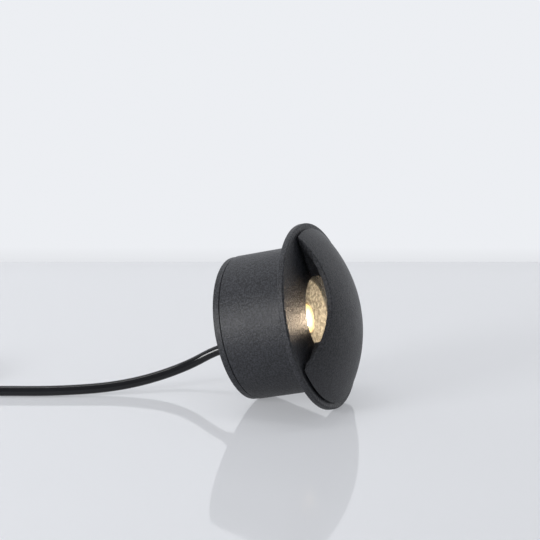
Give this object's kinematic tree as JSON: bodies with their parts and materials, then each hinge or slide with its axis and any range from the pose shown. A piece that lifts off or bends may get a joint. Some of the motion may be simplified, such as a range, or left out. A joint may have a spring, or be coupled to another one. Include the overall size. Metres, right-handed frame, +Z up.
{
  "type": "step light",
  "caption": "Round recessed step light with a domed eyelid hood over a lit window, a cylindrical body and a supply cord.",
  "frame": {"origin": "middle of the light's footprint box on the table, without its cord", "axes": "+Z up from the table; the hood faces -Y and a little up; the cord leaves towards +Y; the mouth opens to -X"},
  "size_m": [0.111, 0.2212, 0.0777],
  "materials": {
    "coated_metal": "die-cast aluminium under a fine-textured dark grey powder coat",
    "steel": "plain stainless",
    "black_rubber": "matt",
    "window_glass": "clear",
    "bare_aluminium": "turned",
    "bright_reflector": "bright satin",
    "phosphor": "lit disc on a white base",
    "white_board": "white solder mask",
    "grey_pad": "soft",
    "green_board": "solder mask",
    "red_insulation": "plain",
    "black_insulation": "plain",
    "brown_insulation": "plain",
    "blue_insulation": "plain",
    "black_plastic": "moulded",
    "green_plastic": "moulded",
    "yellow_film": "moulded",
    "capacitor_sleeve": "shrunk sleeve",
    "brass": "turned",
    "copper": "tinned strands",
    "cord_sheath": "smooth black sheath"
  },
  "bodies": {
    "root": {"bezel": "coated_metal", "eyelid_hood": "coated_metal", "housing_barrel": "coated_metal", "rear_cap": "coated_metal", "hood_screws": "steel", "tie_screws": "steel", "board_screws": "steel", "driver_screws": "steel", "window_gasket": "black_rubber", "front_seal": "black_rubber", "rear_seal": "black_rubber", "cord_bush": "black_rubber", "window_glass": "window_glass", "retaining_ring": "bare_aluminium", "heat_spreader": "bare_aluminium", "reflector": "bright_reflector", "led_emitter": "phosphor", "led_board": "white_board", "thermal_pad": "grey_pad", "lead_red": "red_insulation", "lead_black": "black_insulation", "output_connector": "black_plastic", "driver_board": "green_board", "driver_standoffs": "brass", "film_capacitor": "yellow_film", "bridge_rectifier": "black_plastic", "transformer": "black_plastic", "electrolytic_capacitor": "capacitor_sleeve", "terminal_block": "green_plastic", "core_brown": "brown_insulation", "core_blue": "blue_insulation", "supply_cord": "cord_sheath", "cord_coil": "cord_sheath", "cord_tail": "cord_sheath", "coil_tie": "black_plastic", "tail_core_brown": "brown_insulation", "tail_core_blue": "blue_insulation", "bare_tips": "copper"}
  },
  "joints": []
}
